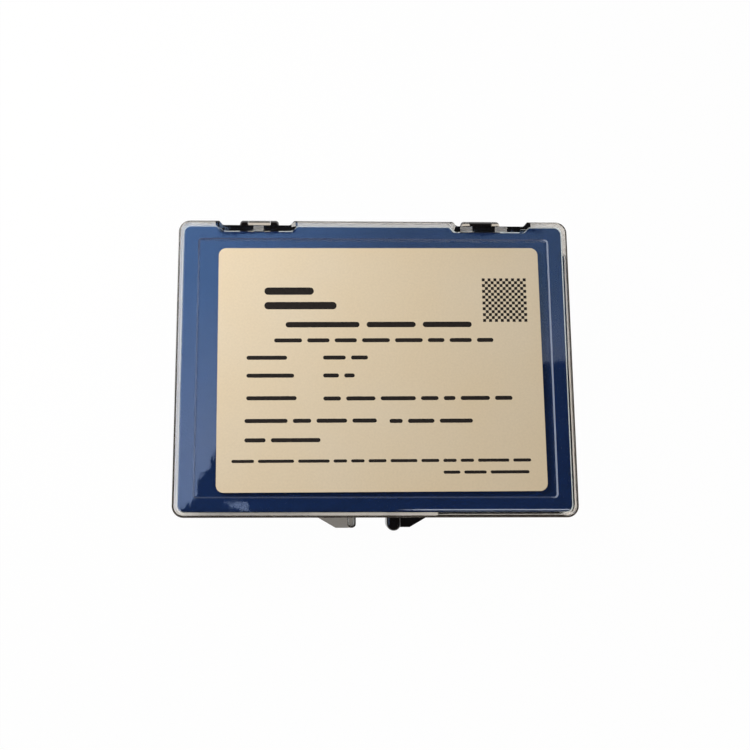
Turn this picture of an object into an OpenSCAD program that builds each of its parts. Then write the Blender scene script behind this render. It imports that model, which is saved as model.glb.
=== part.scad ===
// Hinged case for a spectrophotometer cell. Two halves of one moulding, a black base and a
// clear lid turned over onto it, with foam, a label and one black-walled micro cell.
// Z is up. The origin is on the rest plane, under the middle of the outline.

/* [Case] */
// Width of the case, left to right
case_w = 80; // [74:1:110]
// Depth of the case, front face to rear face
case_d = 60; // [56:1:90]
// Height of each half, from its flat side to the plane where the halves meet
half_h = 10; // [9:0.5:16]
// Thickness of the side walls
wall = 1; // [0.9:0.05:1.6]
// Thickness of the floor of the base and of the top of the lid
skin = 1.2; // [0.9:0.1:1.6]
// Radius of the four upright corners
corner_r = 2.4; // [2.2:0.1:4]
// Radius of the edge round the flat side of each half
edge_r = 0.6; // [0.3:0.1:0.8]
// Lean of the side walls, in degrees, so that a half leaves its mould
draft = 0.5; // [0.3:0.1:1.2]

/* [Rim] */
// Gap between the two rims when the case is shut
part_gap = 0.1; // [0.05:0.05:0.2]
// Height of the half-thickness tongue that one half slips inside the other
tongue_h = 1; // [0.6:0.1:1.5]
// Thickness of the outer lip that the tongue slips behind
lip_t = 0.45; // [0.3:0.05:0.7]
// Gap between tongue and lip, also past the ends of the tongue
fit_gap = 0.1; // [0.08:0.01:0.2]
// Half the length of the plain rim in the middle of the front
plain_rim = 13; // [11:0.5:20]
// Distance from the rear face to the end of the tongue
tongue_stop = 6; // [5:0.5:12]

/* [Hinge] */
// Distance of each hinge from the middle of the case
hinge_x = 24; // [14:0.5:28]
// Distance of the hinge axis behind the rear face
hinge_out = 1.3; // [1:0.1:2]
// Radius of the knuckles
knuckle_r = 1.5; // [1.2:0.1:1.6]
// Length of the middle knuckle
mid_w = 4.7; // [3:0.1:6]
// Width of the rib that carries the middle knuckle
rib_w = 2.2; // [1.6:0.1:3]
// Length of each ear beside it
ear_w = 1.75; // [1.6:0.05:3]
// Radius of the dome at the outer end of each ear
dome_r = 0.7; // [0.3:0.1:0.7]
// How far the foot of each ear spreads outwards along the wall
foot_w = 0.6; // [0.2:0.1:0.8]
// Gap between a knuckle and an ear
side_gap = 0.1; // [0.05:0.05:0.2]
// Radius of the stub pins on the middle knuckle
pin_r = 0.6; // [0.4:0.05:0.8]
// Radial clearance of a stub pin in its ear
pin_gap = 0.05; // [0.03:0.01:0.08]
// Length of each stub pin
pin_len = 1.2; // [1:0.1:1.5]
// Width of the recess round each hinge, at the rear face
recess_w = 15.7; // [14:0.1:20]
// Depth of the recess
recess_depth = 1.15; // [0.5:0.05:1.3]
// Radius where the flanks of the recess meet its floor and the rear face
recess_r = 0.7; // [0.3:0.1:0.8]
// How far the web that carries a knuckle runs down the wall
web_h = 3.4; // [2:0.1:5]

/* [Thumb tabs] */
// Reach of a thumb tab in front of the case
tab_reach = 2.45; // [2.2:0.05:4]
// Thickness of a thumb tab
tab_t = 1.6; // [1:0.1:2.5]
// Distance from the middle to where the tab's front edge ends
tab_flat = 7.7; // [6.5:0.1:8]
// Distance from the middle to where the tab's slant meets the case
tab_end = 12; // [9:0.1:12.5]
// Distance from the middle to the catch post of the base
base_post_x = 4.2; // [2.6:0.1:4.6]
// Width of that post
base_post_w = 2.9; // [2.4:0.1:3.4]
// Reach of that post in front of the case
base_post_reach = 3.05; // [2.6:0.05:4.4]
// Radius of its corners in plan
base_post_r = 1.4; // [0.6:0.1:1.4]
// Distance from the middle to the catch post of the lid, which is flush with its tab
lid_post_x = 4.4; // [2.6:0.1:4.6]
// Width of that post
lid_post_w = 1.7; // [1.7:0.1:3]
// Radius of its corners in plan
lid_post_r = 0.8; // [0.3:0.1:0.8]
// Height of a catch post above the plane where the halves meet
post_rise = 2.2; // [1.8:0.1:3]
// Radius of the edges round a post's top
post_edge = 0.6; // [0.3:0.1:0.7]
// Gap between a catch post and the face of the other half
post_gap = 0.4; // [0.38:0.02:0.6]
// Height of a post's nose above the plane where the halves meet
bead_z = 1.2; // [1:0.1:1.4]
// Radius of the bead on the face and of the nose on the post
bead_r = 0.18; // [0.1:0.01:0.18]

/* [Label] */
// Width of the sunk panel in the flat side of each half
panel_w = 71.7; // [68:0.1:100]
// Depth of the sunk panel, front to rear
panel_d = 52.3; // [50.5:0.1:80]
// How far the panel is sunk
panel_sink = 0.2; // [0.15:0.05:0.4]
// How far the side of that sink leans, so that it shows as a line
panel_slope = 0.3; // [0.1:0.05:0.4]
// Radius of the corners of the panel
panel_r = 0.8; // [0.4:0.1:2]
// Width of the label
label_w = 65.2; // [40:0.1:66]
// Depth of the label, front to rear
label_d = 49.1; // [30:0.1:49.2]
// Thickness of the label
label_t = 0.12; // [0.08:0.01:0.14]
// Radius of the corners of the label
label_r = 1.5; // [0.5:0.1:3]
// How far the label sits to the right of the middle
label_x = 1.1; // [-1.2:0.1:1.2]
// How far the label sits behind the middle
label_y = -0.4; // [-0.4:0.1:0.4]
// Turn of the label, in degrees
label_turn = 0.3; // [-0.4:0.1:0.4]

/* [Foam] */
// Thickness of the sheet under the cell
sheet_t = 1.5; // [1:0.1:2]
// Gap between foam and wall
foam_gap = 0.1; // [0.05:0.05:0.5]
// How far the top of the insert lies below the plane where the halves meet
insert_drop = 0.4; // [0.2:0.1:1]
// Distance of each slot from the middle of the case
slot_x = 16; // [12:0.5:18]
// Gap between a slot and the cell in it
slot_gap = 0.25; // [0.1:0.05:0.5]
// Radius of the finger hole at the middle of each slot
finger_r = 10; // [8:0.5:10]
// Gap between the lid's pad and the cell
pad_gap = 0.3; // [0.2:0.1:0.6]
// Radius of the corners of the foam
foam_r = 1.4; // [0.8:0.1:3]

/* [Cell] */
// Width and height of the cell's square section
cell_w = 12.5; // [12.5:0.1:12.7]
// Length of the cell without its cap
cell_l = 45; // [40:0.5:46]
// Thickness of each window
window_t = 1.25; // [1:0.05:1.5]
// Width of the chamber between the black walls
chamber_w = 2; // [2:0.5:4]
// Thickness of the closed end of the cell
end_t = 1.5; // [1.2:0.1:3]
// Thickness of the cap's plate
cap_t = 3.5; // [2:0.1:4]
// Length of the cap's plug
plug_l = 3; // [2:0.1:5]
// Gap all round the plug
plug_gap = 0.1; // [0.05:0.01:0.2]

/* [Hidden] */
$fn = 64;
over = 1;                                    // how far a cut runs past what it cuts
sink = 0.3;                                  // how far an added piece runs into the wall behind it
rim_z = half_h - part_gap / 2;               // top of a half's plain rim
lean = (half_h - edge_r) * tan(draft);       // how far a wall leans in over its height
inner_w = case_w - 2 * wall;                 // inside width at the rim
inner_d = case_d - 2 * wall;                 // inside depth at the rim
inner_r = corner_r - wall;                   // inside corner radius
front_y = -case_d / 2;
rear_y = case_d / 2;
axis_y = rear_y + hinge_out;                 // the hinge axis, at the height of half_h
rear_reach = hinge_out + knuckle_r;
front_reach = max(tab_reach, base_post_reach);
case_y = (front_reach - rear_reach) / 2;     // the case's place in its outline
tongue_t = wall - lip_t - fit_gap;
station_w = mid_w + 2 * side_gap + 2 * ear_w;
pad_top = 2 * half_h - skin;
sheet_top = skin + sheet_t;
cell_z = sheet_top + cell_w / 2;             // middle of the cell
pad_bottom = sheet_top + cell_w + pad_gap;
insert_top = half_h - insert_drop;
insert_t = insert_top - sheet_top;
whole_l = cell_l + cap_t;
closed_y = whole_l / 2;                      // the cell's closed end, at the rear of its slot
mouth_y = closed_y - cell_l;                 // its mouth, where the cap sits
chamber_h = cell_w - 2 * window_t;
hook = 3 * bead_r;                           // height of a bead over the nose hooked under it
flank = 50;                                  // angle of the recess flanks to the rear face

// ---- shapes used by several pieces ----

// A rectangle with round corners, about the origin.
module round_rect(w, d, r) {
  square([w - 2 * r, d], center = true);
  square([w, d - 2 * r], center = true);
  for (x = [-1, 1], y = [-1, 1])
    translate([x * (w / 2 - r), y * (d / 2 - r)]) circle(r);
}

// Half section of a leaning wall with a round foot, or a sharp one where foot is 0. It reaches
// r at height h and less below, and goes straight up from there.
module wall_section(r, h, foot, slope, up) {
  foot_r = r - slope;
  polygon([[0, 0], [foot_r - foot, 0], [foot_r - foot, foot], [foot_r, foot],
           [r, h], [r, h + up], [0, h + up]]);
  if (foot > 0)
    translate([foot_r - foot, foot]) intersection() {
      circle(foot);
      translate([0, -2 * foot]) square(2 * foot);
    }
}

// A block with leaning walls, round corners and a round foot, w by d at height h.
module leaning_block(w, d, r, h, foot, slope, up = 0) {
  for (turn = [0:3]) {
    side = turn % 2 == 0 ? w : d;
    reach = turn % 2 == 0 ? d : w;
    rotate(90 * turn) {
      translate([r - side / 2, reach / 2 - r, 0]) rotate([90, 0, 90])
        linear_extrude(side - 2 * r) wall_section(r, h, foot, slope, up);
      translate([side / 2 - r, reach / 2 - r, 0])
        rotate_extrude(angle = 90) wall_section(r, h, foot, slope, up);
    }
  }
  translate([r - w / 2, r - d / 2, 0]) cube([w - 2 * r, d - 2 * r, h + up]);
}

// Half the width of the recess's floor, were it grown by g into the case and its corners sharp.
function floor_x(g) = recess_w / 2 - (recess_depth + g) / tan(flank) + g / sin(flank);

// Plan of the recess at both hinges, grown by g into the case. Its flanks run in curves into
// its floor and, where g is 0, into the rear face.
module recess_plan(g) {
  floor_y = -recess_depth - g;
  bend = (recess_r + g) * tan(flank / 2);
  for (s = [-1, 1]) translate([s * hinge_x, rear_y]) for (turn = [0, 1]) mirror([turn, 0]) {
    polygon([[-sink, floor_y], [floor_x(g) - bend, floor_y],
             [floor_x(g) + bend * cos(flank), floor_y + bend * sin(flank)],
             [floor_x(g) + (over - floor_y) / tan(flank), over], [-sink, over]]);
    translate([floor_x(g) - bend, floor_y + recess_r + g]) circle(recess_r + g);
    if (g == 0) recess_shoulder();
  }
}

// What the round shoulder takes off between a flank and the rear face.
module recess_shoulder() {
  bend = recess_r * tan(flank / 2);
  translate([recess_w / 2, 0]) difference() {
    polygon([[-bend * cos(flank), -bend * sin(flank)], [bend, 0], [bend, over], [-bend * cos(flank), over]]);
    translate([bend, -recess_r]) circle(recess_r);
  }
}

// Plan of the foam, which leaves g to the walls all round.
module foam_plan(g) {
  deep = wall + g;
  cut = recess_depth + deep;
  difference() {
    round_rect(inner_w - 2 * lean - 2 * g, inner_d - 2 * lean - 2 * g, foam_r);
    for (s = [-1, 1]) translate([s * hinge_x, rear_y - cut])
      polygon([[-floor_x(deep), 0], [floor_x(deep), 0],
               [floor_x(deep) + cut / tan(flank), cut], [-floor_x(deep) - cut / tan(flank), cut]]);
  }
}

// Turns a half over, about the line where the halves meet.
module turned_over() translate([0, 0, 2 * half_h]) rotate([0, 180, 0]) children();

// Moves the case so that the origin is under the middle of its outline.
module placed() translate([0, case_y, 0]) children();

// ---- one half of the case, lying on its flat side ----

module tray() {
  difference() {
    leaning_block(case_w, case_d, corner_r, rim_z, edge_r, lean);
    translate([0, 0, skin]) difference() {
      leaning_block(inner_w, inner_d, inner_r, rim_z - skin, 0, lean, over);
      translate([0, 0, -over]) linear_extrude(half_h + 2 * over) recess_plan(wall);
    }
    translate([0, 0, -over]) linear_extrude(half_h + 2 * over) recess_plan(0);
    translate([0, 0, panel_sink]) mirror([0, 0, 1])
      leaning_block(panel_w, panel_d, panel_r, panel_sink, 0, panel_slope, over);
  }
}

// Ring in plan between two distances from the outer face.
module ring(outer, inner) {
  difference() {
    round_rect(case_w - 2 * outer, case_d - 2 * outer, corner_r - outer);
    round_rect(case_w - 2 * inner, case_d - 2 * inner, corner_r - inner);
  }
}

// The part of that ring beside the case and in front, right of the plain rim. stop is added
// to its length at both ends.
module half_ring(outer, inner, stop) {
  left = plain_rim - stop;
  rear = rear_y - tongue_stop + stop;
  intersection() {
    ring(outer, inner);
    translate([left, front_y - over]) square([case_w / 2 + over - left, rear - front_y + over]);
  }
}

module tongue() {
  translate([0, 0, rim_z - sink]) linear_extrude(tongue_h + sink) half_ring(wall - tongue_t, wall, 0);
}

module tongue_seat() {
  translate([0, 0, rim_z - tongue_h - fit_gap]) linear_extrude(tongue_h + fit_gap + over)
    mirror([1, 0]) half_ring(lip_t, wall + fit_gap, fit_gap);
}

// Web that carries a knuckle, from the recess wall to the axis.
module knuckle_web(w) {
  root = axis_y - rear_y + recess_depth;
  translate([-w / 2, axis_y, 0]) rotate([90, 0, 90]) linear_extrude(w)
    polygon([[0, rim_z], [0, half_h - knuckle_r], [-root, half_h - web_h],
             [-root - sink, half_h - web_h], [-root - sink, rim_z]]);
}

// A cylinder along X, centred on the hinge axis.
module on_axis(r, w) translate([0, axis_y, half_h]) rotate([0, 90, 0]) cylinder(r = r, h = w, center = true);

module middle_knuckle() {
  knuckle_web(rib_w);
  on_axis(knuckle_r, mid_w);
  on_axis(pin_r, mid_w + 2 * (side_gap + pin_len));
}

// Ear right of the middle knuckle: a knuckle with a domed end, on a web whose foot spreads
// outwards along the wall.
module ear() {
  inner_x = mid_w / 2 + side_gap;
  translate([inner_x, axis_y, half_h]) rotate([0, 90, 0]) rotate_extrude() {
    square([knuckle_r - dome_r, ear_w]);
    square([knuckle_r, ear_w - dome_r]);
    translate([knuckle_r - dome_r, ear_w - dome_r]) intersection() {
      circle(dome_r);
      square(dome_r);
    }
  }
  translate([inner_x + (ear_w - dome_r) / 2, 0, 0]) knuckle_web(ear_w - dome_r);
  intersection() {
    translate([inner_x + (ear_w + foot_w) / 2, 0, 0]) knuckle_web(ear_w + foot_w);
    linear_extrude(half_h) polygon([
      [inner_x, rear_y - recess_depth - sink], [inner_x + ear_w + foot_w, rear_y - recess_depth - sink],
      [inner_x + ear_w + foot_w, rear_y - recess_depth], [inner_x, rear_y - recess_depth + ear_w + foot_w]]);
  }
}

module ears() {
  difference() {
    for (turn = [0, 1]) mirror([turn, 0, 0]) ear();
    on_axis(pin_r + pin_gap, station_w + 2 * over);
  }
}

// Catch post w wide and r round in plan, with round top edges. Its root joins the face of its
// own half, and its upper part stands clear of the other half, with a nose that hooks over
// the bead there.
module catch_post(w, r, reach) {
  root_z = rim_z - tab_t;
  post_h = half_h + post_rise - root_z;
  back = front_y - post_gap;
  difference() {
    translate([0, front_y - (reach - r) / 2, root_z + post_h]) mirror([0, 0, 1])
      leaning_block(w, reach + r, r, post_h, post_edge, 0);
    translate([-w, back, rim_z]) cube([2 * w, reach, post_h]);
    translate([-w, front_y + sink, root_z - over]) cube([2 * w, reach, post_h + 2 * over]);
  }
  translate([0, back, half_h + bead_z]) rotate([0, 90, 0])
    cylinder(r = bead_r, h = w - 2 * post_edge, center = true);
}

// Thumb tab right of the middle, from the distance x.
module thumb_tab(x) {
  translate([0, 0, rim_z - tab_t]) linear_extrude(tab_t)
    polygon([[x, front_y + sink], [x, front_y - tab_reach],
             [tab_flat, front_y - tab_reach], [tab_end, front_y],
             [tab_end + sink, front_y + sink]]);
}

// Bead w wide on the front face, left of the middle, that the other half's post snaps over.
module catch_bead(x, w) {
  translate([-x, front_y + bead_z * tan(draft), half_h - bead_z + hook]) rotate([0, 90, 0])
    cylinder(r = bead_r, h = w, center = true);
}

// What either half is without its catch.
module half_case() {
  difference() {
    tray();
    tongue_seat();
  }
  tongue();
  translate([hinge_x, 0, 0]) middle_knuckle();
  translate([-hinge_x, 0, 0]) ears();
}

// ---- the pieces ----

module base() {
  color("#1a1a1a") {
    half_case();
    thumb_tab(base_post_x);
    translate([base_post_x, 0, 0]) catch_post(base_post_w, base_post_r, base_post_reach);
    catch_bead(lid_post_x, lid_post_w);
  }
}

module lid() {
  color([0.86, 0.9, 0.9, 0.35]) turned_over() {
    half_case();
    thumb_tab(lid_post_x);
    translate([lid_post_x, 0, 0]) catch_post(lid_post_w, lid_post_r, tab_reach);
    catch_bead(base_post_x, base_post_w);
  }
}

module label() {
  color("#dccfae") translate([label_x, label_y, 2 * half_h - panel_sink]) rotate(label_turn)
    linear_extrude(label_t) round_rect(label_w, label_d, label_r);
}

module lid_pad() {
  color("#1f3f86") translate([0, 0, pad_bottom])
    linear_extrude(pad_top - pad_bottom) foam_plan(foam_gap);
}

module foam_insert() {
  color("#24468f") translate([0, 0, sheet_top]) linear_extrude(insert_t) difference() {
    foam_plan(foam_gap);
    for (s = [-1, 1]) translate([s * slot_x, 0]) {
      square([cell_w + 2 * slot_gap, whole_l + 2 * slot_gap], center = true);
      circle(finger_r);
    }
  }
}

module foam_sheet() {
  color("#2a4c95") translate([0, 0, skin]) linear_extrude(sheet_t) foam_plan(foam_gap);
}

// Places a piece of the cell, whose length runs along Y, in the left slot.
module in_slot() translate([-slot_x, 0, cell_z]) children();

module cell_walls() {
  color("#101010") in_slot() difference() {
    translate([-cell_w / 2, mouth_y, -chamber_h / 2]) cube([cell_w, cell_l, chamber_h]);
    translate([-chamber_w / 2, mouth_y - over, -chamber_h / 2 - over])
      cube([chamber_w, cell_l - end_t + over, chamber_h + 2 * over]);
  }
}

module window(side) {
  in_slot() translate([-cell_w / 2, mouth_y, side * (cell_w - window_t) / 2 - window_t / 2])
    cube([cell_w, cell_l, window_t]);
}

module cell_window_upper() color([0.8, 0.88, 0.92, 0.4]) window(1);

module cell_window_lower() color([0.8, 0.88, 0.92, 0.4]) window(-1);

module cell_cap() {
  plug_w = chamber_w - 2 * plug_gap;
  plug_h = chamber_h - 2 * plug_gap;
  color("white") in_slot() {
    translate([-cell_w / 2, mouth_y - cap_t, -cell_w / 2]) cube([cell_w, cap_t, cell_w]);
    translate([-plug_w / 2, mouth_y - sink, -plug_h / 2]) cube([plug_w, plug_l + sink, plug_h]);
  }
}

placed() base();
placed() lid();
placed() label();
placed() lid_pad();
placed() foam_insert();
placed() foam_sheet();
placed() cell_walls();
placed() cell_window_upper();
placed() cell_window_lower();
placed() cell_cap();
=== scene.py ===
"""The look of a hinged cuvette case: two moulded polystyrene shells, foam, a paper label and a quartz cell.

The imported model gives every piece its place. Lengths are in metres, unless a comment says mm.
"""

import math

import bmesh
import bpy
from bpy.props import FloatProperty, PointerProperty, StringProperty
from mathutils import Matrix, Vector


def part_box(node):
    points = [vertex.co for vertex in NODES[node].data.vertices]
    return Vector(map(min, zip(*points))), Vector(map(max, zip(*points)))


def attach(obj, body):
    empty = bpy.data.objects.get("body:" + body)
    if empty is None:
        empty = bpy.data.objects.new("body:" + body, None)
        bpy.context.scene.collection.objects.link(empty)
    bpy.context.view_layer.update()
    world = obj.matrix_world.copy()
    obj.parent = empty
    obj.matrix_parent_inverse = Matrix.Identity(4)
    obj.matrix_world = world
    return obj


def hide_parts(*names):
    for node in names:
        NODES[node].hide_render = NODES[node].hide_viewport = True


bl_info = {
    "name": "Cuvette Case",
    "version": (1, 0, 0),
    "blender": (4, 5, 0),
    "location": "View3D > Sidebar > Cuvette Case",
    "description": "Finishes a hinged plastic case for spectrophotometer cells",
    "category": "Object",
}

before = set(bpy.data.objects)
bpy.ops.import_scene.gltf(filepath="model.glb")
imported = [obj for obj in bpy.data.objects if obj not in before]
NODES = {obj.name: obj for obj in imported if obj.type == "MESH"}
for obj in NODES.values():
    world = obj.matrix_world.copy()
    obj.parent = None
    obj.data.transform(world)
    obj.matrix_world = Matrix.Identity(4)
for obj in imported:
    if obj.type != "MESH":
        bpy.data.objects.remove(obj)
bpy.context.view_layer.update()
MM = 0.001

# ---- places on the lid that its material tells apart ----
# Z is up from the rest plane, and X and Y run from the middle of the case.

LID_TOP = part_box("lid")[1].z
LID_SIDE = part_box("lid")[1].x
MEETING = LID_TOP / 2                  # the plane where the two halves meet
EDGE_LOW = LID_TOP - 0.8 * MM          # lower end of the round outer edge of the top
EDGE_DEPTH = (-30 * MM, 30 * MM)       # front and rear of that edge
EDGE_RIGHT = LID_SIDE - 1.5 * MM       # its right side lies beyond this
STEP_X = LID_SIDE - 3 * MM             # the step round the sunk panel lies within this in X,
STEP_Y = 27.5 * MM                     # and within this in Y
# The step round the panel and a fine line in front of it carry a painted highlight, a pale blue diffuse skin.
STEP_LEFT = (-34 * MM, -36 * MM)       # the painted highlight on its left and right grows over these stretches,
STEP_RIGHT = (34 * MM, 36 * MM)
STEP_DEPTH = (-22 * MM, 22 * MM)       # and that on the rest from front to rear over this one
LINE_Y = -28.25 * MM                   # a fine line of painted highlight in front of the panel
LINE_HALF = 0.11 * MM                  # half its width
LINE_START = (4 * MM, 9 * MM)          # the stretch over which it begins
LINE_END = 37.9 * MM                   # where it ends on the right
TAB_Y = -29.95 * MM                    # the thumb tab lies in front of this
RIM_Z = MEETING + 0.3 * MM             # the rim's mating faces lie below this
SEAT_Z = MEETING + 1.4 * MM            # and the seat of the other half's tongue below this,
SEAT_X = LID_SIDE - 0.9 * MM           # this far from the middle
SEAT_HALF = 0.12 * MM                  # half the width of what shows of that seat
KNUCKLE_Y = 30.4 * MM                  # the knuckles lie behind this
HINGE_X = 24 * MM                      # middle of each hinge
RECESS_X = 24.4 * MM                   # middle of the recess walls at the left hinge
RECESS_RIGHT = 1 * MM                  # how much further out they lie at the right one
RECESS_HALF = 8.7 * MM                 # half the width of the recess walls
RECESS_Y = 27.9 * MM                   # their inner face
WEB_Y = 28.7 * MM                      # how far back the webs of the knuckles hide them
WEB_HALF = 1.1 * MM                    # half the width of the web of a middle knuckle
EAR_OFF = 3.7 * MM                     # from the middle of a hinge to the web of an ear
EAR_HALF = 1.3 * MM                    # half the width of that web

# ---- the print on the label ----

LABEL_LOW, LABEL_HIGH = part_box("label")
LABEL_TOP = LABEL_HIGH.z
LABEL_MIDDLE = Vector(((LABEL_LOW.x + LABEL_HIGH.x) / 2, (LABEL_LOW.y + LABEL_HIGH.y) / 2, 0))
LABEL_TURN = math.radians(0.3)
# Rows of print, in mm from the middle of the label: left end, right end, height of the row's middle,
# thickness of its bars, and the words' relative lengths.
PRINT_ROWS = (
    (-23.3, -13.3, 15.6, 1.5, (1,)), (-23.3, -8.7, 12.6, 1.5, (1,)),
    (-19.0, 18.6, 8.7, 1.1, (9, 6, 6)), (-21.3, 22.9, 5.5, 0.8, (5, 4, 4, 5, 5, 3, 4, 3)),
    (-26.8, -18.7, 2.0, 0.8, (5,)), (-11.5, -2.5, 2.0, 0.8, (4, 3)),
    (-26.8, -17.3, -1.6, 0.8, (6,)), (-11.5, -5.2, -1.6, 0.8, (3, 2)),
    (-26.8, -16.8, -6.1, 0.8, (7,)), (-11.5, 26.3, -6.2, 0.8, (3, 5, 6, 3, 2, 5, 3)),
    (-27.1, -0.9, -10.6, 0.8, (7, 3, 5, 4)), (1.6, 18.2, -10.7, 0.8, (2, 4, 5)),
    (-27.1, -12.1, -14.4, 0.8, (3, 7)),
    (-29.6, 29.5, -18.5, 0.6, (5, 8, 7, 3, 3, 4, 6, 4, 3, 3, 7, 4)), (12.1, 29.1, -20.8, 0.6, (3, 4, 7)),
)
WORD_GAP = 1.3                         # gap between words, as a share of a bar's thickness
END_SIDES = 8                          # sides of a bar's round end
CHECK_SIDE, CHECK_COUNT = 0.6, 15      # the chequered square: side of a field in mm, and fields in a row
CHECK_CORNER = (20.95, 9.2)            # its front left corner, in mm from the middle of the label
INK_SUNK, INK_THICK = 0.01 * MM, 0.03 * MM  # how far the ink lies in the paper, and its thickness

# ---- the stage ----

FLOOR_Z = -0.05 * MM                   # just under the case
# Lamps: name, place, side of the square, watts and colour. They all point at the middle of the rest plane.
LAMPS = (
    ("key", (-0.10, 0.068, 0.125), 0.10, 0.185, "#fffaf4"),
    ("fill", (0.25, -0.28, 0.55), 0.5, 1.18, "#fff1dc"),
    ("rim", (0.12, -0.10, 0.15), 0.06, 0.17, "#fff5ee"),
)
CARD_Z = 0.72                          # height of the cards
# Outlines of the two cards. The sky card ends raggedly on the left, and the lid mirrors the notches of its
# rear edge at the hinges.
SKY_CARD = (
    (-0.60, -0.30), (-0.147, -0.069), (-0.141, -0.064), (-0.128, -0.050), (-0.1285, -0.036),
    (-0.1244, -0.030), (-0.126, -0.0275), (-0.1201, -0.025), (-0.114, -0.022), (-0.116, -0.017),
    (-0.1125, -0.012), (-0.109, -0.0065), (0.0, 0.045), (0.12, 0.075), (0.25, 0.088), (0.6, 0.12),
    (0.6, 0.242), (0.240, 0.242), (0.240, 0.232), (0.146, 0.232), (0.146, 0.242),
    (-0.023, 0.242), (-0.023, 0.232), (-0.109, 0.232), (-0.109, 0.242), (-0.6, 0.242),
)
LOW_CARD = ((-0.101, -0.060), (-0.075, -0.0545), (-0.0735, -0.0665), (-0.088, -0.063))
CAMERA_PLACE = Vector((-13.752, -19.264, 180.0)) * MM
CAMERA_TILT = 0.14562                  # turns about X, Y and Z, in radians
CAMERA_ROLL = -0.01949
CAMERA_TWIST = -0.00013
CAMERA_SHIFT = (0.0707, -0.04)
FOCAL_PIXELS, IMAGE_PIXELS = 806.22, 750   # focal length, and the side of the picture
SENSOR = 36                            # width of the sensor, in mm


# ---- helpers ----

def linear(code):
    """An sRGB hex colour, such as #1f3f86, as linear red, green, blue and alpha."""
    parts = [int(code[i:i + 2], 16) / 255 for i in (1, 3, 5)]
    return tuple(c / 12.92 if c <= 0.04045 else ((c + 0.055) / 1.055) ** 2.4 for c in parts) + (1.0,)


def add(tree, kind, inputs=None, **settings):
    """Adds a node. settings are its own properties; inputs maps an input's name or number to a value,
    or to a node's output, which is linked to it."""
    made = tree.nodes.new(kind)
    for name, value in settings.items():
        setattr(made, name, value)
    for name, value in (inputs or {}).items():
        if isinstance(value, bpy.types.NodeSocket):
            tree.links.new(value, made.inputs[name])
        else:
            made.inputs[name].default_value = value
    return made


def new_material(name):
    """An empty material and its node tree."""
    mat = bpy.data.materials.new(name)
    mat.use_nodes = True
    mat.node_tree.nodes.clear()
    return mat, mat.node_tree


def paint(obj, mat):
    """Gives an object this material in place of its own."""
    obj.data.materials.clear()
    obj.data.materials.append(mat)


def link_piece(name, mesh, body):
    """Puts a new mesh in the scene as a piece that rides on a body."""
    obj = bpy.data.objects.new(name, mesh)
    bpy.context.scene.collection.objects.link(obj)
    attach(obj, body)
    return obj


# ---- settings a user would change ----

class CaseFinishSettings(bpy.types.PropertyGroup):
    clear_tint: StringProperty(name="Clear tint", description="Tint of the clear plastic", default="#f3f6f4")
    knuckle_tint: StringProperty(
        name="Knuckles", description="Tint of the thick clear knuckles", default="#d2c8ba")
    clear_shade: StringProperty(
        name="Clear shade", description="Tint of the light that passes a clear face", default="#f9faf9")
    black: StringProperty(name="Black", description="Colour of the black plastic", default="#120e0d")
    rim_tint: StringProperty(name="Rim", description="Tint of the lid's matt mating faces", default="#fbf8f4")
    # Painted shade: a dark diffuse skin on the lid's round top edge and on the lower face of its thumb tab.
    painted_edge_shade: StringProperty(name="Edge", description="Tint of the lid's round top edge", default="#3a3632")
    # Painted highlight: a pale blue diffuse skin on the step round the panel and on a fine line in front of
    # it.
    step_highlight: StringProperty(
        name="Highlight", description="Colour of the highlighted step round the panel", default="#c2d2f0")
    clear_ior: FloatProperty(name="Index", description="Refractive index of the plastic", default=1.59)


class FoamSettings(bpy.types.PropertyGroup):
    blue: StringProperty(name="Foam", description="Colour of the foam", default="#173468")
    cell: FloatProperty(
        name="Foam cell", description="Size of the foam's cells", default=0.45 * MM, unit="LENGTH")
    face_gap: FloatProperty(
        name="Face gap", description="How far the foam's level faces are drawn in", default=0.06 * MM,
        unit="LENGTH")
    edge: FloatProperty(
        name="Soft edge", description="Radius of the foam's cut edges", default=0.35 * MM, unit="LENGTH")


class LabelSettings(bpy.types.PropertyGroup):
    paper: StringProperty(name="Paper", description="Colour of the label", default="#e9dec8")
    aged: StringProperty(
        name="Aged paper", description="Colour of the label where it has aged", default="#ead7b4")
    ink: StringProperty(name="Ink", description="Colour of the printed bars", default="#1d1a18")
    thin_ink: StringProperty(
        name="Thin ink", description="Colour of the bars where the ink is thin", default="#332e2a")


class CellSettings(bpy.types.PropertyGroup):
    quartz: StringProperty(name="Quartz tint", description="Tint of the clear windows", default="#f8fbfb")
    quartz_shade: StringProperty(
        name="Quartz shade", description="Tint of the light that passes a window's face", default="#f7f8f8")
    quartz_ior: FloatProperty(
        name="Quartz index", description="Refractive index of fused quartz", default=1.458)
    cap: StringProperty(name="Cap", description="Colour of the cap", default="#f2f2ee")


class StageSettings(bpy.types.PropertyGroup):
    floor: StringProperty(name="Floor", description="Colour of the floor", default="#f4f3f1")
    floor_size: FloatProperty(name="Floor size", description="Side of the floor", default=6.0, unit="LENGTH")
    floor_glow: FloatProperty(
        name="Floor glow", description="How much of the floor is plain white as a background", default=0.98,
        subtype="FACTOR")
    sky_left: StringProperty(name="Sky, left", description="Colour of the cards, left", default="#90bcfa")
    sky_right: StringProperty(name="Sky, right", description="Colour of the cards, right", default="#657c9b")
    sky_front: StringProperty(
        name="Sky, front", description="Colour that is added to the cards in front", default="#7d6a4a")
    sky_strength: FloatProperty(name="Sky strength", description="Brightness of the cards", default=2.2)


# ---- materials ----

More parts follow.
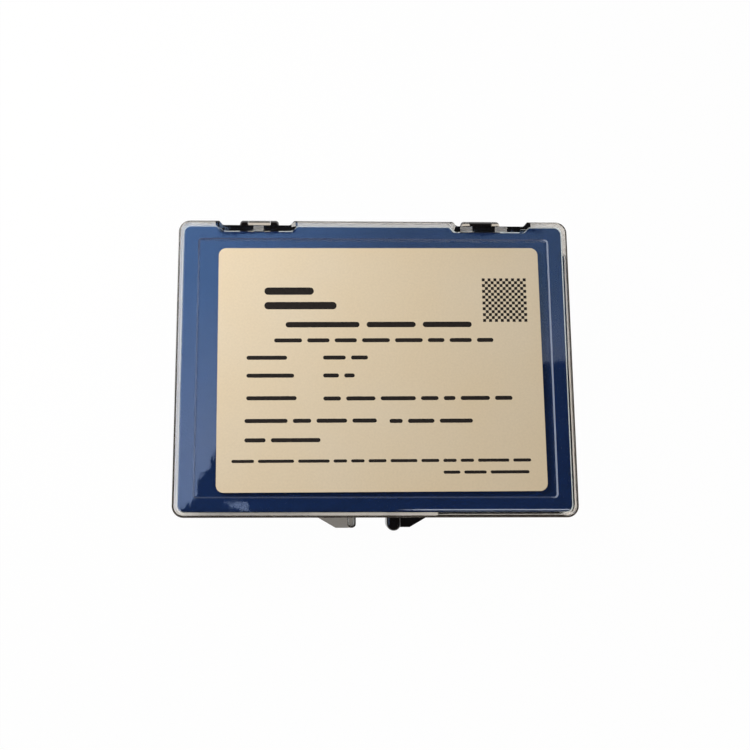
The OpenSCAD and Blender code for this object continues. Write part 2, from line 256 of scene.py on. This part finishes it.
def flow_waves(tree, where):
    """The bump of clear moulded plastic, which bends what its flat faces mirror: waves about 20 mm long, and
    finer ones, 3 mm wide and five times as long, that run from front to rear."""
    waves = add(tree, "ShaderNodeTexNoise", {"Vector": where, "Scale": 1 / (20 * MM), "Detail": 1.0})
    along = add(tree, "ShaderNodeVectorMath", {0: where, 1: (1, 1 / 5, 1)}, operation="MULTIPLY")
    flow = add(tree, "ShaderNodeTexNoise", {
        "Vector": along.outputs[0], "Scale": 1 / (3 * MM), "Detail": 2.0})
    bump = add(tree, "ShaderNodeBump", {
        "Height": waves.outputs["Fac"], "Strength": 0.06, "Distance": 1 * MM})
    bump = add(tree, "ShaderNodeBump", {
        "Height": flow.outputs["Fac"], "Strength": 0.055, "Distance": 0.3 * MM,
        "Normal": bump.outputs["Normal"]})
    return bump.outputs["Normal"]


def faint_shadow(tree, surface, tint):
    """Adds the output of a clear material. Lamplight passes it with this tint, so its shadow is faint."""
    through = add(tree, "ShaderNodeBsdfTransparent", {"Color": linear(tint)})
    path = add(tree, "ShaderNodeLightPath")
    mix = add(tree, "ShaderNodeMixShader", {
        0: path.outputs["Is Shadow Ray"], 1: surface.outputs[0], 2: through.outputs[0]})
    add(tree, "ShaderNodeOutputMaterial", {"Surface": mix.outputs[0]})


def top_faces(tree, place, side, level):
    """Three masks of the lid: all that lies high, the step round the panel, and the round outer edge."""
    high = add(tree, "ShaderNodeMath", {0: place["Z"], 1: EDGE_LOW}, operation="GREATER_THAN").outputs[0]
    # Step and edge are tilted, by 14 to 88 degrees.
    tilted = add(tree, "ShaderNodeMath", {0: level, 1: 0.5, 2: 0.47}, operation="COMPARE").outputs[0]
    tilted = add(tree, "ShaderNodeMath", {0: high, 1: tilted}, operation="MULTIPLY").outputs[0]
    step = add(tree, "ShaderNodeMath", {0: side, 1: STEP_X}, operation="LESS_THAN").outputs[0]
    near = add(tree, "ShaderNodeMath", {0: place["Y"], 1: 0.0, 2: STEP_Y}, operation="COMPARE").outputs[0]
    for mask in (near, tilted):
        step = add(tree, "ShaderNodeMath", {0: step, 1: mask}, operation="MULTIPLY").outputs[0]
    edge = add(tree, "ShaderNodeMath", {0: tilted, 1: step}, operation="SUBTRACT").outputs[0]
    return high, step, edge


def recess_walls(tree, place, side):
    """1 on the lid's walls round the hinge recesses, and half that below the webs of its knuckles. The lid
    has the middle knuckle of the left hinge and the two ears of the right one."""
    right = add(tree, "ShaderNodeMath", {0: place["X"], 1: 0.0}, operation="GREATER_THAN").outputs[0]
    middle = add(tree, "ShaderNodeMath", {0: right, 1: RECESS_RIGHT, 2: RECESS_X}, operation="MULTIPLY_ADD")
    walls = add(tree, "ShaderNodeMath", {0: side, 1: middle.outputs[0], 2: RECESS_HALF}, operation="COMPARE")
    off = add(tree, "ShaderNodeMath", {0: side, 1: HINGE_X}, operation="SUBTRACT")
    off = add(tree, "ShaderNodeMath", {0: off.outputs[0]}, operation="ABSOLUTE").outputs[0]
    knuckle = add(tree, "ShaderNodeMath", {0: off, 1: 0.0, 2: WEB_HALF}, operation="COMPARE")
    ears = add(tree, "ShaderNodeMath", {0: off, 1: EAR_OFF, 2: EAR_HALF}, operation="COMPARE")
    web = add(tree, "ShaderNodeMix", {"Factor": right, 2: knuckle.outputs[0], 3: ears.outputs[0]})
    hidden = add(tree, "ShaderNodeMath", {0: place["Y"], 1: WEB_Y}, operation="LESS_THAN")
    web = add(tree, "ShaderNodeMath", {0: web.outputs[0], 1: hidden.outputs[0]}, operation="MULTIPLY")
    web = add(tree, "ShaderNodeMath", {0: web.outputs[0], 1: 0.5}, operation="MULTIPLY")
    walls = add(tree, "ShaderNodeMath", {0: walls.outputs[0], 1: web.outputs[0]}, operation="SUBTRACT")
    inside = add(tree, "ShaderNodeMath", {0: place["Y"], 1: RECESS_Y}, operation="LESS_THAN")
    walls = add(tree, "ShaderNodeMath", {0: walls.outputs[0], 1: inside.outputs[0]}, operation="SUBTRACT",
                use_clamp=True)
    return walls.outputs[0]


def matt_faces(tree, place, side, level, low):
    """How matt the lid is. The mould leaves the rim's mating faces rough, so they catch the light that runs
    down the wall. The recess walls are polished down to their ends, and show the black half below."""
    seat = add(tree, "ShaderNodeMath", {0: place["Z"], 1: SEAT_Z}, operation="LESS_THAN")
    inner = add(tree, "ShaderNodeMath", {0: side, 1: SEAT_X, 2: SEAT_HALF}, operation="COMPARE")
    seat = add(tree, "ShaderNodeMath", {0: seat.outputs[0], 1: inner.outputs[0]}, operation="MULTIPLY")
    rim = add(tree, "ShaderNodeMath", {0: low, 1: seat.outputs[0]}, operation="MAXIMUM")
    flat = add(tree, "ShaderNodeMath", {0: level, 1: 0.9}, operation="GREATER_THAN")
    rim = add(tree, "ShaderNodeMath", {0: rim.outputs[0], 1: flat.outputs[0]}, operation="MULTIPLY")
    matt = add(tree, "ShaderNodeMath", {0: rim.outputs[0], 1: recess_walls(tree, place, side)},
               operation="SUBTRACT", use_clamp=True)
    return matt.outputs[0]


def painted_highlight_faces(tree, place, high, step):
    """How much painted highlight the lid carries: on the step, most on the right and least in front and
    behind, and along a second fine line that runs inside the right half of its front edge."""
    # A pale skin paints the highlight. Its share grows towards the right and left ends of the step.
    glint = add(tree, "ShaderNodeMapRange", {
        "Value": place["Y"], "From Min": STEP_DEPTH[0], "From Max": STEP_DEPTH[1], "To Min": 0.07,
        "To Max": 0.1}).outputs["Result"]
    for stretch, most in ((STEP_LEFT, 0.17), (STEP_RIGHT, 0.55)):
        side_glint = add(tree, "ShaderNodeMapRange", {
            "Value": place["X"], "From Min": stretch[0], "From Max": stretch[1], "To Min": 0.0,
            "To Max": most}).outputs["Result"]
        glint = add(tree, "ShaderNodeMath", {0: glint, 1: side_glint}, operation="MAXIMUM").outputs[0]
    glint = add(tree, "ShaderNodeMath", {0: glint, 1: step}, operation="MULTIPLY").outputs[0]
    # The fine line of painted highlight in front of the panel.
    line = add(tree, "ShaderNodeMath", {0: place["Y"], 1: LINE_Y, 2: LINE_HALF},
               operation="COMPARE").outputs[0]
    start = add(tree, "ShaderNodeMapRange", {
        "Value": place["X"], "From Min": LINE_START[0], "From Max": LINE_START[1], "To Min": 0.0,
        "To Max": 0.5}).outputs["Result"]
    end = add(tree, "ShaderNodeMath", {0: place["X"], 1: LINE_END}, operation="LESS_THAN").outputs[0]
    for mask in (start, end, high):
        line = add(tree, "ShaderNodeMath", {0: line, 1: mask}, operation="MULTIPLY").outputs[0]
    return add(tree, "ShaderNodeMath", {0: glint, 1: line}, operation="MAXIMUM").outputs[0]


def painted_shade_faces(tree, place, edge, low):
    """How much painted shade the lid gets. Its round outer edge sends light far down the wall and looks
    darker than the faces beside it, so a dark skin paints that shade there, most of all in front and on the
    right.
    The lower face of its thumb tab gets painted shade too."""
    # Painted shade on the round edge: most in front, less towards the rear, and strong on the right.
    dark = add(tree, "ShaderNodeMapRange", {
        "Value": place["Y"], "From Min": EDGE_DEPTH[0], "From Max": EDGE_DEPTH[1], "To Min": 0.95,
        "To Max": 0.5}).outputs["Result"]
    right = add(tree, "ShaderNodeMath", {0: place["X"], 1: EDGE_RIGHT}, operation="GREATER_THAN").outputs[0]
    right = add(tree, "ShaderNodeMath", {0: right, 1: 0.92}, operation="MULTIPLY").outputs[0]
    dark = add(tree, "ShaderNodeMath", {0: dark, 1: right}, operation="MAXIMUM").outputs[0]
    dark = add(tree, "ShaderNodeMath", {0: dark, 1: edge}, operation="MULTIPLY").outputs[0]
    # Painted shade on the lower face of the thumb tab.
    tab = add(tree, "ShaderNodeMath", {0: place["Y"], 1: TAB_Y}, operation="LESS_THAN").outputs[0]
    for share in (low, 0.6):
        tab = add(tree, "ShaderNodeMath", {0: tab, 1: share}, operation="MULTIPLY").outputs[0]
    return add(tree, "ShaderNodeMath", {0: dark, 1: tab}, operation="MAXIMUM").outputs[0]


def clear_polystyrene(s):
    """Injection-moulded clear polystyrene: water clear and hard, with faint flow waves. It is pale where it
    is rough, carries a painted highlight on the step and a fine line in front, and painted shade along its
    round edge."""
    mat, tree = new_material("clear polystyrene, moulded")
    coords = add(tree, "ShaderNodeTexCoord").outputs
    where = coords["Object"]
    place = add(tree, "ShaderNodeSeparateXYZ", {"Vector": where}).outputs
    side = add(tree, "ShaderNodeMath", {0: place["X"]}, operation="ABSOLUTE").outputs[0]
    facing = add(tree, "ShaderNodeSeparateXYZ", {"Vector": coords["Normal"]}).outputs
    # 1 on a level face and 0 on an upright one, from either side of it.
    level = add(tree, "ShaderNodeMath", {0: facing["Z"]}, operation="ABSOLUTE").outputs[0]
    # Handling marks: a haze a few millimetres wide.
    haze = add(tree, "ShaderNodeTexNoise", {"Vector": where, "Scale": 1 / (6 * MM), "Detail": 4.0})
    rough = add(tree, "ShaderNodeMapRange", {
        "Value": haze.outputs["Fac"], "From Min": 0.45, "From Max": 0.75, "To Min": 0.01, "To Max": 0.05})
    # The thick knuckles look duller than the walls.
    knuckle = add(tree, "ShaderNodeMath", {0: place["Y"], 1: KNUCKLE_Y}, operation="GREATER_THAN")
    tint = add(tree, "ShaderNodeMix", {
        "Factor": knuckle.outputs[0], 6: linear(s.clear_tint), 7: linear(s.knuckle_tint)}, data_type="RGBA")
    shell = add(tree, "ShaderNodeBsdfPrincipled", {
        "Base Color": tint.outputs[2], "Roughness": rough.outputs["Result"], "IOR": s.clear_ior,
        "Transmission Weight": 1.0, "Normal": flow_waves(tree, where)})
    high, step, edge = top_faces(tree, place, side, level)
    low = add(tree, "ShaderNodeMath", {0: place["Z"], 1: RIM_Z}, operation="LESS_THAN").outputs[0]
    # Three diffuse skins: a real matt finish on the rim, a painted highlight on the step, and painted shade
    # on the edge.
    for share, colour in ((matt_faces(tree, place, side, level, low), s.rim_tint),
                          (painted_highlight_faces(tree, place, high, step), s.step_highlight),
                          (painted_shade_faces(tree, place, edge, low), s.painted_edge_shade)):
        skin = add(tree, "ShaderNodeBsdfDiffuse", {"Color": linear(colour)})
        shell = add(tree, "ShaderNodeMixShader", {0: share, 1: shell.outputs[0], 2: skin.outputs[0]})
    faint_shadow(tree, shell, s.clear_shade)
    return mat


def black_polystyrene(s):
    """Injection-moulded black polystyrene: opaque and glossy, with a little haze from handling."""
    mat, tree = new_material("black polystyrene, moulded")
    where = add(tree, "ShaderNodeTexCoord").outputs["Object"]
    haze = add(tree, "ShaderNodeTexNoise", {"Vector": where, "Scale": 1 / (5 * MM), "Detail": 5.0})
    rough = add(tree, "ShaderNodeMapRange", {
        "Value": haze.outputs["Fac"], "From Min": 0.4, "From Max": 0.7, "To Min": 0.12, "To Max": 0.3})
    bump = add(tree, "ShaderNodeBump", {
        "Height": haze.outputs["Fac"], "Strength": 0.04, "Distance": 0.5 * MM})
    shell = add(tree, "ShaderNodeBsdfPrincipled", {
        "Base Color": linear(s.black), "Roughness": rough.outputs["Result"], "IOR": s.clear_ior,
        "Normal": bump.outputs["Normal"]})
    add(tree, "ShaderNodeOutputMaterial", {"Surface": shell.outputs[0]})
    return mat


def blue_foam(s):
    """Fine-celled polyurethane foam, dyed blue and die-cut: dull, with painted shade in small pits at open
    cells.
    """
    mat, tree = new_material("polyurethane foam, die-cut")
    where = add(tree, "ShaderNodeTexCoord").outputs["Object"]
    pits = add(tree, "ShaderNodeTexVoronoi", {"Vector": where, "Scale": 1 / s.cell})
    cloud = add(tree, "ShaderNodeTexNoise", {"Vector": where, "Scale": 1 / (9 * MM), "Detail": 3.0})
    # Painted shade: the blue darkens away from the middle of each cell, where the bump sinks into pits.
    shade = add(tree, "ShaderNodeMapRange", {
        "Value": pits.outputs["Distance"], "From Min": 0.0, "From Max": 0.7, "To Min": 1.06, "To Max": 0.88})
    tone = add(tree, "ShaderNodeMapRange", {
        "Value": cloud.outputs["Fac"], "From Min": 0.3, "From Max": 0.7, "To Min": 0.92, "To Max": 1.08})
    both = add(tree, "ShaderNodeMath", {0: shade.outputs["Result"], 1: tone.outputs["Result"]},
               operation="MULTIPLY")
    colour = add(tree, "ShaderNodeVectorMath", {0: linear(s.blue)[:3], "Scale": both.outputs[0]},
                 operation="SCALE")
    bump = add(tree, "ShaderNodeBump", {
        "Height": pits.outputs["Distance"], "Strength": 0.3, "Distance": 0.15 * MM}, invert=True)
    foam = add(tree, "ShaderNodeBsdfPrincipled", {
        "Base Color": colour.outputs[0], "Roughness": 0.95, "Specular IOR Level": 0.2, "Sheen Weight": 0.05,
        "Sheen Roughness": 0.6, "Normal": bump.outputs["Normal"]})
    add(tree, "ShaderNodeOutputMaterial", {"Surface": foam.outputs[0]})
    return mat


def label_paper(s):
    """Coated label paper: cream and smooth, a little warmer where it has aged, with a fine fibre grain."""
    mat, tree = new_material("coated paper, printed")
    where = add(tree, "ShaderNodeTexCoord").outputs["Object"]
    fibre = add(tree, "ShaderNodeTexNoise", {"Vector": where, "Scale": 1 / (0.4 * MM), "Detail": 3.0})
    age = add(tree, "ShaderNodeTexNoise", {"Vector": where, "Scale": 1 / (22 * MM), "Detail": 2.0})
    tone = add(tree, "ShaderNodeMapRange", {
        "Value": fibre.outputs["Fac"], "From Min": 0.3, "From Max": 0.7, "To Min": 0.97, "To Max": 1.02})
    warm = add(tree, "ShaderNodeMix", {
        "Factor": age.outputs["Fac"], 6: linear(s.paper), 7: linear(s.aged)}, data_type="RGBA")
    colour = add(tree, "ShaderNodeVectorMath", {0: warm.outputs[2], "Scale": tone.outputs["Result"]},
                 operation="SCALE")
    bump = add(tree, "ShaderNodeBump", {
        "Height": fibre.outputs["Fac"], "Strength": 0.12, "Distance": 0.03 * MM})
    sheet = add(tree, "ShaderNodeBsdfPrincipled", {
        "Base Color": colour.outputs[0], "Roughness": 0.6, "Normal": bump.outputs["Normal"]})
    add(tree, "ShaderNodeOutputMaterial", {"Surface": sheet.outputs[0]})
    return mat


def printed_ink(s):
    """Black printing ink on coated paper: dull, and greyer where it is thin."""
    mat, tree = new_material("printing ink")
    where = add(tree, "ShaderNodeTexCoord").outputs["Object"]
    thin = add(tree, "ShaderNodeTexNoise", {"Vector": where, "Scale": 1 / (0.5 * MM), "Detail": 2.0})
    colour = add(tree, "ShaderNodeMix", {
        "Factor": thin.outputs["Fac"], 6: linear(s.ink), 7: linear(s.thin_ink)}, data_type="RGBA")
    ink = add(tree, "ShaderNodeBsdfPrincipled", {
        "Base Color": colour.outputs[2], "Roughness": 0.6, "Specular IOR Level": 0.15})
    add(tree, "ShaderNodeOutputMaterial", {"Surface": ink.outputs[0]})
    return mat


def fused_quartz(s):
    """Polished fused quartz: colourless and very clear."""
    mat, tree = new_material("fused quartz, polished")
    where = add(tree, "ShaderNodeTexCoord").outputs["Object"]
    haze = add(tree, "ShaderNodeTexNoise", {"Vector": where, "Scale": 1 / (3 * MM), "Detail": 2.0})
    rough = add(tree, "ShaderNodeMapRange", {"Value": haze.outputs["Fac"], "To Min": 0.0, "To Max": 0.03})
    glass = add(tree, "ShaderNodeBsdfPrincipled", {
        "Base Color": linear(s.quartz), "Roughness": rough.outputs["Result"], "IOR": s.quartz_ior,
        "Transmission Weight": 1.0})
    faint_shadow(tree, glass, s.quartz_shade)
    return mat


def black_quartz(s):
    """Black quartz, ground on its outer faces: opaque, with the soft shine of a fine-ground surface. The grit
    is drawn coarse enough to show."""
    mat, tree = new_material("black quartz, ground")
    where = add(tree, "ShaderNodeTexCoord").outputs["Object"]
    grit = add(tree, "ShaderNodeTexNoise", {"Vector": where, "Scale": 1 / (0.12 * MM), "Detail": 2.0})
    tone = add(tree, "ShaderNodeMapRange", {"Value": grit.outputs["Fac"], "To Min": 0.008, "To Max": 0.03})
    bump = add(tree, "ShaderNodeBump", {
        "Height": grit.outputs["Fac"], "Strength": 0.15, "Distance": 0.02 * MM})
    glass = add(tree, "ShaderNodeBsdfPrincipled", {
        "Base Color": tone.outputs["Result"], "Roughness": 0.38, "IOR": s.quartz_ior,
        "Normal": bump.outputs["Normal"]})
    add(tree, "ShaderNodeOutputMaterial", {"Surface": glass.outputs[0]})
    return mat


def white_ptfe(s):
    """Machined PTFE: waxy white, with faint tool marks."""
    mat, tree = new_material("PTFE, machined")
    where = add(tree, "ShaderNodeTexCoord").outputs["Object"]
    marks = add(tree, "ShaderNodeTexWave", {"Vector": where, "Scale": 1 / (1.2 * MM), "Distortion": 1.0},
                bands_direction="Z")
    bump = add(tree, "ShaderNodeBump", {
        "Height": marks.outputs["Fac"], "Strength": 0.08, "Distance": 0.03 * MM})
    cap = add(tree, "ShaderNodeBsdfPrincipled", {
        "Base Color": linear(s.cap), "Roughness": 0.42, "IOR": 1.35, "Subsurface Weight": 0.2,
        "Subsurface Scale": 1 * MM, "Normal": bump.outputs["Normal"]})
    add(tree, "ShaderNodeOutputMaterial", {"Surface": cap.outputs[0]})
    return mat


# ---- pieces ----

def soft_copy(node, name, body, mat, s):
    """A foam piece shaped from its solid: level faces are drawn in a little and cut edges are soft."""
    weld, one_face, cut_edge = 0.002 * MM, math.radians(1), math.radians(40)
    bm = bmesh.new()
    bm.from_mesh(NODES[node].data)
    bmesh.ops.remove_doubles(bm, verts=bm.verts, dist=weld)
    bmesh.ops.dissolve_limit(bm, angle_limit=one_face, verts=bm.verts, edges=bm.edges)
    low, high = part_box(node)
    middle = (low + high) / 2
    for v in bm.verts:
        v.co.z -= math.copysign(s.face_gap, v.co.z - middle.z)
    sharp = [e for e in bm.edges if e.is_manifold and e.calc_face_angle(0) > cut_edge]
    bmesh.ops.bevel(bm, geom=sharp, offset=s.edge, segments=3, profile=0.6, affect="EDGES",
                    clamp_overlap=True)
    bmesh.ops.triangulate(bm, faces=bm.faces)
    mesh = bpy.data.meshes.new(name)
    bm.to_mesh(mesh)
    bm.free()
    obj = link_piece(name, mesh, body)
    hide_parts(node)
    paint(obj, mat)


def ink_shape(bm, points):
    """A thin film of ink on the label, with this outline in mm. The points run anticlockwise."""
    bottom = LABEL_TOP - INK_SUNK
    face = bm.faces.new([bm.verts.new((x * MM, y * MM, bottom)) for x, y in points])
    face.normal_flip()
    made = bmesh.ops.extrude_face_region(bm, geom=[face], use_keep_orig=True)["geom"]
    upper = [v for v in made if isinstance(v, bmesh.types.BMVert)]
    bmesh.ops.translate(bm, verts=upper, vec=(0, 0, INK_THICK))


def ink_bar(bm, left, right, y, thick):
    """A bar with round ends."""
    r = thick / 2
    points = []
    for x, start in ((right - r, -90), (left + r, 90)):
        for i in range(END_SIDES + 1):
            angle = math.radians(start + 180 * i / END_SIDES)
            points.append((x + r * math.cos(angle), y + r * math.sin(angle)))
    ink_shape(bm, points)


def make_print(ink):
    """Generic print on the label: words as plain bars, and a chequered square."""
    bm = bmesh.new()
    for left, right, y, thick, words in PRINT_ROWS:
        gap = WORD_GAP * thick
        scale = (right - left - gap * (len(words) - 1)) / sum(words)
        for letters in words:
            ink_bar(bm, left, left + letters * scale, y, thick)
            left += letters * scale + gap
    side = CHECK_SIDE
    for i in range(CHECK_COUNT):
        for j in range(i % 2, CHECK_COUNT, 2):
            x, y = CHECK_CORNER[0] + i * side, CHECK_CORNER[1] + j * side
            ink_shape(bm, [(x, y), (x + side, y), (x + side, y + side), (x, y + side)])
    mesh = bpy.data.meshes.new("label_print")
    bm.to_mesh(mesh)
    bm.free()
    mesh.transform(Matrix.Translation(LABEL_MIDDLE) @ Matrix.Rotation(LABEL_TURN, 4, "Z"))
    paint(link_piece("label_print", mesh, "lid"), ink)


# ---- stage ----

def background_rays(tree):
    """1 for the rays that see the background: the camera's, and those that are refracted or mirrored."""
    path = add(tree, "ShaderNodeLightPath").outputs
    seen = path["Is Camera Ray"]
    for ray in ("Is Transmission Ray", "Is Glossy Ray"):
        seen = add(tree, "ShaderNodeMath", {0: seen, 1: path[ray]}, operation="MAXIMUM").outputs[0]
    return seen


def stage_sheet(name, outline, height, mat):
    """A flat sheet with this outline that belongs to the stage."""
    mesh = bpy.data.meshes.new(name)
    mesh.from_pydata([(x, y, height) for x, y in outline], [], [tuple(range(len(outline)))])
    obj = bpy.data.objects.new(name, mesh)
    bpy.context.scene.collection.objects.link(obj)
    paint(obj, mat)
    return obj


def make_floor(s):
    """A plain pale floor that takes the case's shadow and is white as a background."""
    mat, tree = new_material("white card")
    card = add(tree, "ShaderNodeBsdfDiffuse", {"Color": linear(s.floor)})
    glow = add(tree, "ShaderNodeEmission", {"Color": linear("#ffffff"), "Strength": 1.0})
    share = add(tree, "ShaderNodeMath", {0: background_rays(tree), 1: s.floor_glow}, operation="MULTIPLY")
    mix = add(tree, "ShaderNodeMixShader", {0: share.outputs[0], 1: card.outputs[0], 2: glow.outputs[0]})
    add(tree, "ShaderNodeOutputMaterial", {"Surface": mix.outputs[0]})
    half = s.floor_size / 2
    stage_sheet("floor", ((-half, -half), (half, -half), (half, half), (-half, half)), FLOOR_Z, mat)


def make_world():
    """Soft light all round. As a background it is white, under a dim ceiling that polished faces mirror."""
    world = bpy.data.worlds.new("studio")
    bpy.context.scene.world = world
    world.use_nodes = True
    tree = world.node_tree
    tree.nodes.clear()
    room = add(tree, "ShaderNodeBackground", {"Color": linear("#ffffff"), "Strength": 0.2})
    way = add(tree, "ShaderNodeTexCoord").outputs["Generated"]
    height = add(tree, "ShaderNodeSeparateXYZ", {"Vector": way}).outputs["Z"]
    ceiling = add(tree, "ShaderNodeMapRange", {
        "Value": height, "From Min": 0.0, "From Max": 0.35, "To Min": 1.0, "To Max": 0.03})
    path = add(tree, "ShaderNodeLightPath")
    ceiling = add(tree, "ShaderNodeMath", {0: ceiling.outputs["Result"], 1: path.outputs["Is Camera Ray"]},
                  operation="MAXIMUM")
    seen = add(tree, "ShaderNodeBackground", {"Color": ceiling.outputs[0], "Strength": 1.0})
    mix = add(tree, "ShaderNodeMixShader", {
        0: background_rays(tree), 1: room.outputs[0], 2: seen.outputs[0]})
    add(tree, "ShaderNodeOutputWorld", {"Surface": mix.outputs[0]})


def make_lamps():
    """A key lamp, a wide fill, and a lamp for the light that runs round inside the lid's walls to their rims.
    The last one lights only the lid, and no piece shades it."""
    lamps = {}
    for name, place, size, watts, colour in LAMPS:
        lamp = bpy.data.lights.new(name, "AREA")
        lamp.shape = "SQUARE"
        lamp.size = size
        lamp.energy = watts
        lamp.color = linear(colour)[:3]
        obj = bpy.data.objects.new(name, lamp)
        bpy.context.scene.collection.objects.link(obj)
        obj.location = place
        obj.rotation_euler = (-Vector(place)).to_track_quat("-Z", "Y").to_euler()
        obj.visible_camera = obj.visible_glossy = obj.visible_transmission = False
        lamps[name] = obj
    lit, shading = bpy.data.collections.new("lit_by_rim"), bpy.data.collections.new("shading_rim")
    lit.objects.link(NODES["lid"])
    shading.objects.link(bpy.data.objects["floor"])
    lamps["rim"].light_linking.receiver_collection = lit
    lamps["rim"].light_linking.blocker_collection = shading


def make_cards(s):
    """Lit cards overhead that only polished faces see: sky blue, greyer on the right and paler in front."""
    mat, tree = new_material("lit card")
    where = add(tree, "ShaderNodeTexCoord").outputs["Object"]
    place = add(tree, "ShaderNodeSeparateXYZ", {"Vector": where}).outputs
    right = add(tree, "ShaderNodeMapRange", {"Value": place["X"], "From Min": -0.15, "From Max": 0.1})
    sky = add(tree, "ShaderNodeMix", {
        "Factor": right.outputs["Result"], 6: linear(s.sky_left), 7: linear(s.sky_right)}, data_type="RGBA")
    front = add(tree, "ShaderNodeMapRange", {"Value": place["Y"], "From Min": 0.18, "From Max": 0.0})
    pale = add(tree, "ShaderNodeMix", {
        "Factor": front.outputs["Result"], 6: sky.outputs[2], 7: linear(s.sky_front)},
        data_type="RGBA", blend_type="ADD")
    glow = add(tree, "ShaderNodeEmission", {"Color": pale.outputs[2], "Strength": s.sky_strength})
    add(tree, "ShaderNodeOutputMaterial", {"Surface": glow.outputs[0]})
    for name, outline in (("sky_card", SKY_CARD), ("low_card", LOW_CARD)):
        obj = stage_sheet(name, outline, CARD_Z, mat)
        obj.visible_camera = obj.visible_diffuse = obj.visible_shadow = False


def make_camera():
    """Stands above the case and a little in front of its middle, tipped towards its rear."""
    data = bpy.data.cameras.new("camera")
    obj = bpy.data.objects.new("camera", data)
    bpy.context.scene.collection.objects.link(obj)
    turn = (Matrix.Rotation(CAMERA_TWIST, 4, "Z") @ Matrix.Rotation(CAMERA_ROLL, 4, "Y")
            @ Matrix.Rotation(CAMERA_TILT, 4, "X"))
    obj.matrix_world = Matrix.Translation(CAMERA_PLACE) @ turn
    data.sensor_width = SENSOR
    data.lens = FOCAL_PIXELS / IMAGE_PIXELS * SENSOR
    data.shift_x, data.shift_y = CAMERA_SHIFT
    data.clip_start, data.clip_end = 0.01, 20
    bpy.context.scene.camera = obj


# ---- operators and panel ----

class CASE_OT_stage(bpy.types.Operator):
    """Makes the floor, the lights and the camera"""

    bl_idname = "cuvette_case.stage"
    bl_label = "Make the stage"

    def execute(self, context):
        s = context.scene.case_stage
        make_floor(s)
        make_world()
        make_lamps()
        make_cards(s)
        make_camera()
        context.scene.view_settings.view_transform = "Standard"
        return {"FINISHED"}


class CASE_OT_plastic(bpy.types.Operator):
    """Finishes the black base and the clear lid"""

    bl_idname = "cuvette_case.plastic"
    bl_label = "Finish the shells"

    def execute(self, context):
        s = context.scene.case_finish
        paint(NODES["base"], black_polystyrene(s))
        paint(NODES["lid"], clear_polystyrene(s))
        return {"FINISHED"}


class CASE_OT_foam(bpy.types.Operator):
    """Makes the three foam pieces"""

    bl_idname = "cuvette_case.foam"
    bl_label = "Make the foam"

    def execute(self, context):
        s = context.scene.case_foam
        mat = blue_foam(s)
        soft_copy("lid_pad", "lid_foam", "lid", mat, s)
        soft_copy("foam_insert", "base_foam", "base", mat, s)
        soft_copy("foam_sheet", "base_foam_sheet", "base", mat, s)
        return {"FINISHED"}


class CASE_OT_label(bpy.types.Operator):
    """Finishes the label and prints it"""

    bl_idname = "cuvette_case.label"
    bl_label = "Finish the label"

    def execute(self, context):
        s = context.scene.case_label
        paint(NODES["label"], label_paper(s))
        make_print(printed_ink(s))
        return {"FINISHED"}


class CASE_OT_cell(bpy.types.Operator):
    """Finishes the quartz cell and its cap"""

    bl_idname = "cuvette_case.cell"
    bl_label = "Finish the cell"

    def execute(self, context):
        s = context.scene.case_cell
        clear = fused_quartz(s)
        paint(NODES["cell_window_upper"], clear)
        paint(NODES["cell_window_lower"], clear)
        paint(NODES["cell_walls"], black_quartz(s))
        paint(NODES["cell_cap"], white_ptfe(s))
        return {"FINISHED"}


class CASE_PT_panel(bpy.types.Panel):
    """Lists the operators and their settings"""

    bl_label = "Cuvette Case"
    bl_idname = "CASE_PT_panel"
    bl_space_type = "VIEW_3D"
    bl_region_type = "UI"
    bl_category = "Cuvette Case"

    def draw(self, context):
        for cls in OPERATORS:
            self.layout.operator(cls.bl_idname)
        for group in GROUPS:
            box = self.layout.box()
            settings = getattr(context.scene, group)
            for prop in settings.bl_rna.properties:
                if prop.identifier not in {"rna_type", "name"}:
                    box.prop(settings, prop.identifier)


GROUPS = {"case_finish": CaseFinishSettings, "case_foam": FoamSettings, "case_label": LabelSettings,
          "case_cell": CellSettings, "case_stage": StageSettings}
OPERATORS = (CASE_OT_stage, CASE_OT_plastic, CASE_OT_foam, CASE_OT_label, CASE_OT_cell)


def register():
    for cls in (*GROUPS.values(), *OPERATORS, CASE_PT_panel):
        bpy.utils.register_class(cls)
    for name, cls in GROUPS.items():
        setattr(bpy.types.Scene, name, PointerProperty(type=cls))


def unregister():
    for name in GROUPS:
        delattr(bpy.types.Scene, name)
    for cls in reversed((*GROUPS.values(), *OPERATORS, CASE_PT_panel)):
        bpy.utils.unregister_class(cls)


def main():
    register()
    bpy.ops.cuvette_case.stage()
    bpy.ops.cuvette_case.plastic()
    bpy.ops.cuvette_case.foam()
    bpy.ops.cuvette_case.label()
    bpy.ops.cuvette_case.cell()


if __name__ == "__main__":
    main()
